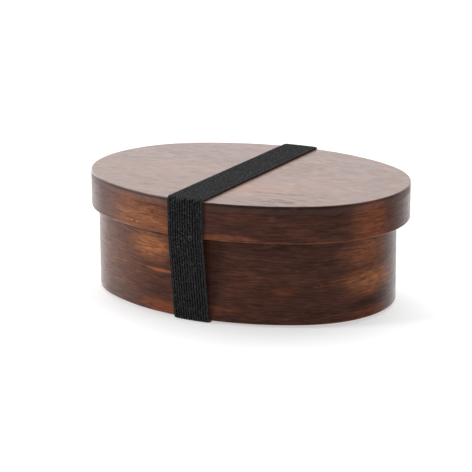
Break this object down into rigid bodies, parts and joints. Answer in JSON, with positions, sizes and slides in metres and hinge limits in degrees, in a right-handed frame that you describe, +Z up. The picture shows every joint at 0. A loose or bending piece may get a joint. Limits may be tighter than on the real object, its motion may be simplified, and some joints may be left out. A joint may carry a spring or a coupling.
{
  "type": "bento lunch box",
  "caption": "Oval bentwood lunch box in dark lacquered wood, with a lift-off lid, a loose divider inside and a black elastic band round it.",
  "frame": {"origin": "on the surface the box stands on, under the middle of the lid", "axes": "+X along the box's length, +Y towards its back, where the lap joints are, +Z up"},
  "size_m": [0.175, 0.1348, 0.0661],
  "materials": {
    "body_wood": "satin lacquer over dark brown stain, level grain round the wall",
    "base_wood": "satin lacquer over dark brown stain",
    "lid_wood": "satin lacquer over dark brown stain, level grain round the rim",
    "lid_board_wood": "satin lacquer over dark brown stain, grain along the lid",
    "divider_wood": "satin lacquer over brown stain",
    "bark": "dark bark strip, slightly glossy",
    "elastic": "ribbed woven elastic, matt",
    "thread": "polyester sewing thread"
  },
  "bodies": {
    "box": {"body_wall": "body_wood", "base_board": "base_wood", "body_bark_stitching": "bark"},
    "lid": {"lid_rim": "lid_wood", "lid_top_board": "lid_board_wood", "lid_bark_stitching": "bark"},
    "divider": {"divider_panel": "divider_wood", "divider_foot": "divider_wood"},
    "band_lower": {"elastic_band_lower": "elastic", "band_seam_thread": "thread"},
    "band_upper": {"elastic_band_upper": "elastic"}
  },
  "joints": [
    {"name": "lid_lift", "type": "slide", "parent": "box", "child": "lid", "axis": [0, 0, 1], "range_m": [0, 0.09]},
    {"name": "divider_lift", "type": "slide", "parent": "box", "child": "divider", "axis": [0, 0, 1], "range_m": [0, 0.0585]},
    {"name": "band_slide", "type": "slide", "parent": "box", "child": "band_lower", "axis": [1, 0, 0], "range_m": [0, 0.13]},
    {"name": "band_stretch", "type": "slide", "parent": "band_lower", "child": "band_upper", "axis": [0, 0, 1], "range_m": [0, 0.09]}
  ],
  "couplings": [
    {"joint": "divider_lift", "follows": "lid_lift", "ratio": 0.65},
    {"joint": "band_stretch", "follows": "lid_lift", "ratio": 1}
  ]
}
